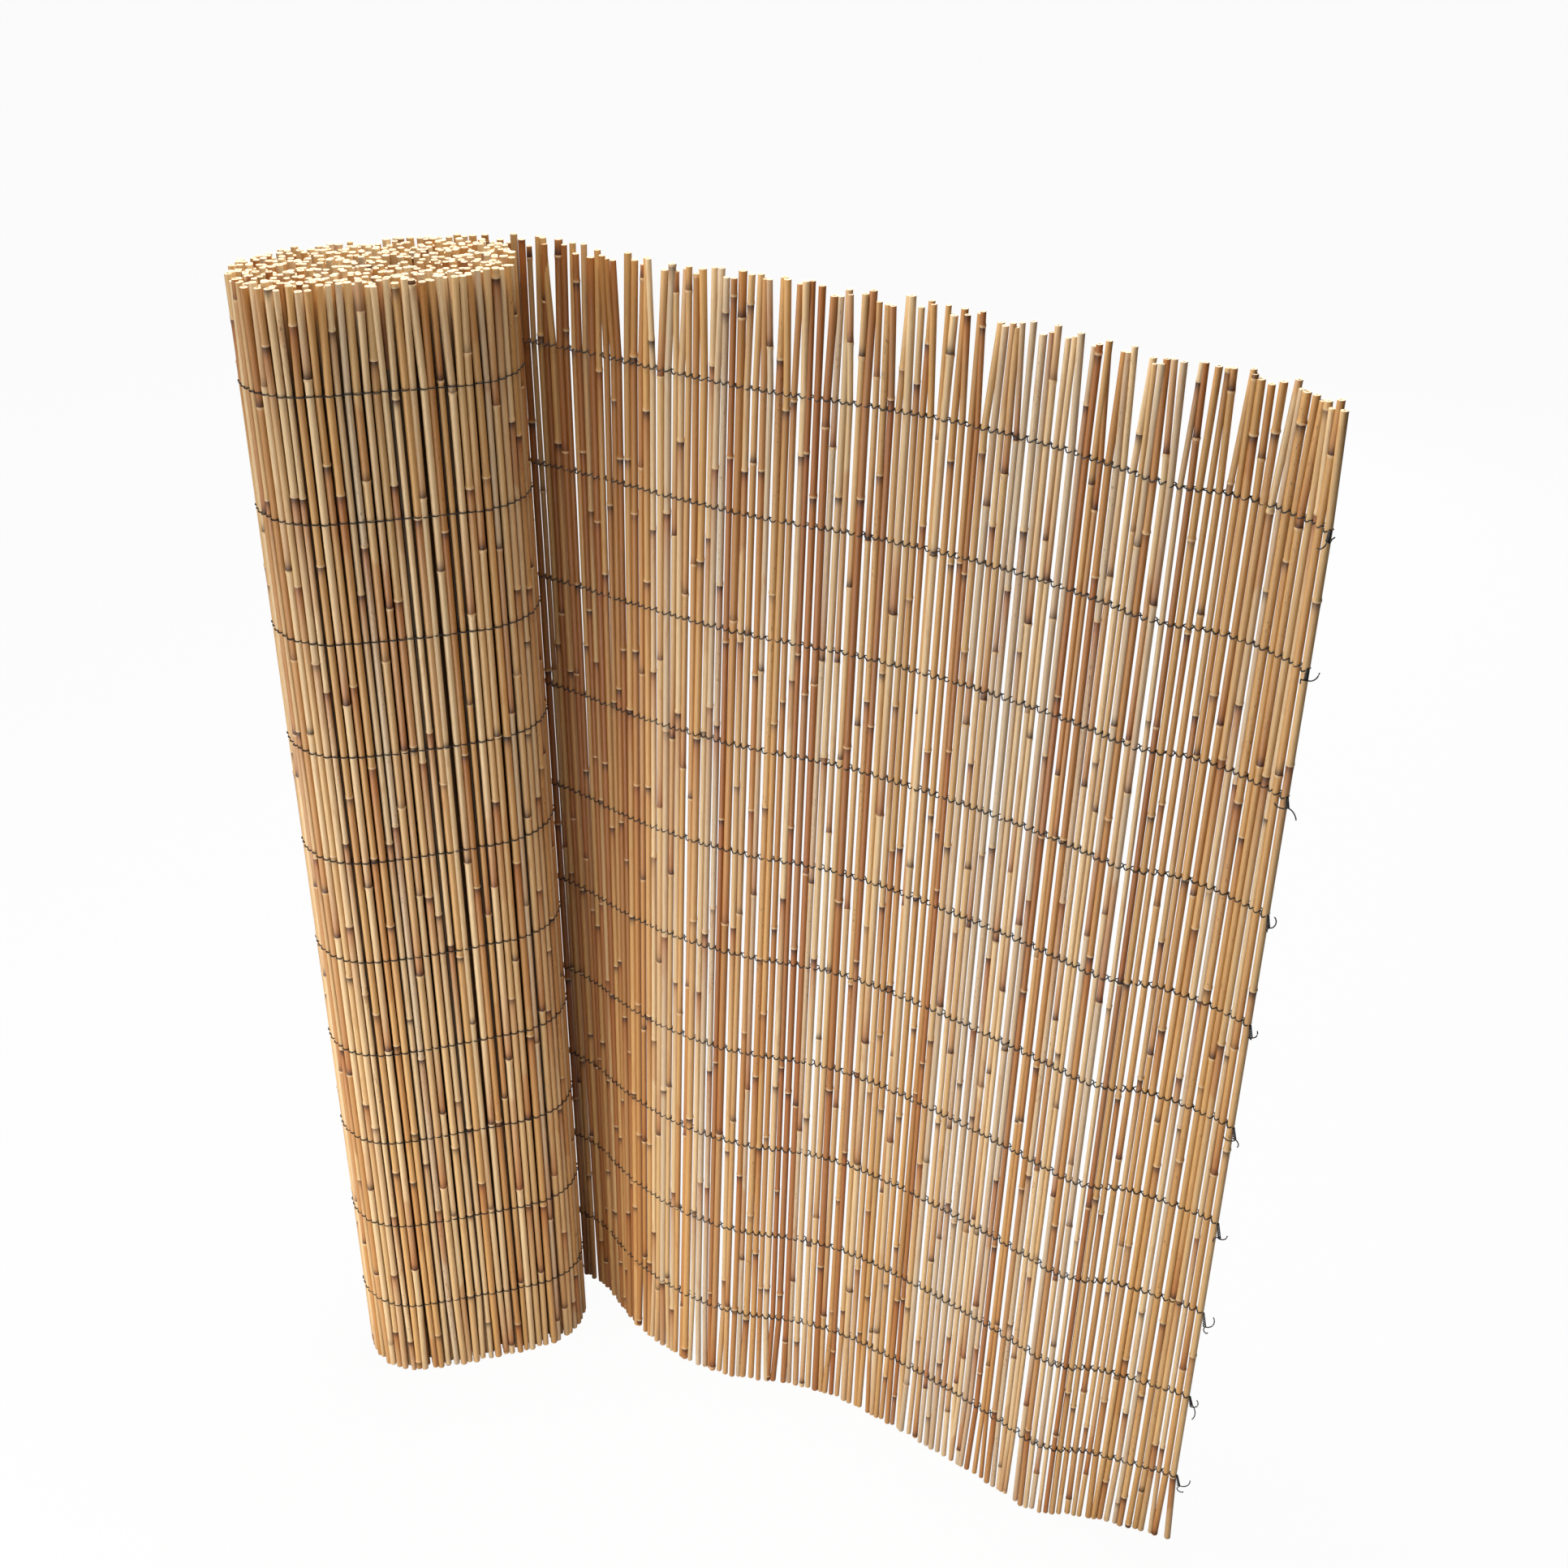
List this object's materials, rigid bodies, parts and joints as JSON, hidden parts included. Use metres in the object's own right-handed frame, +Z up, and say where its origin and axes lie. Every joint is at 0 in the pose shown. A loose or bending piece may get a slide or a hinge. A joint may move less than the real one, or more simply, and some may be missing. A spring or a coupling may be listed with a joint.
{
  "type": "reed screen",
  "caption": "Natural reed screen standing on end, one end still rolled up and the rest run out as a wavy wall of reeds bound side by side by rows of twisted wire.",
  "frame": {"origin": "centre of the whole outline on the floor that the reeds stand on", "axes": "+Z up along the reeds, +X from the roll towards the free edge, +Y towards the back of the screen"},
  "size_m": [0.7085, 0.3874, 1],
  "materials": {
    "reed": "natural, unpeeled, satin",
    "wire": "dark annealed, matt"
  },
  "bodies": {
    "root": {"standing_reeds": "reed", "rolled_reeds": "reed", "binding_wire_01": "wire", "binding_wire_02": "wire", "binding_wire_03": "wire", "binding_wire_04": "wire", "binding_wire_05": "wire", "binding_wire_06": "wire", "binding_wire_07": "wire", "binding_wire_08": "wire", "binding_wire_09": "wire", "binding_wire_10": "wire"}
  },
  "joints": []
}
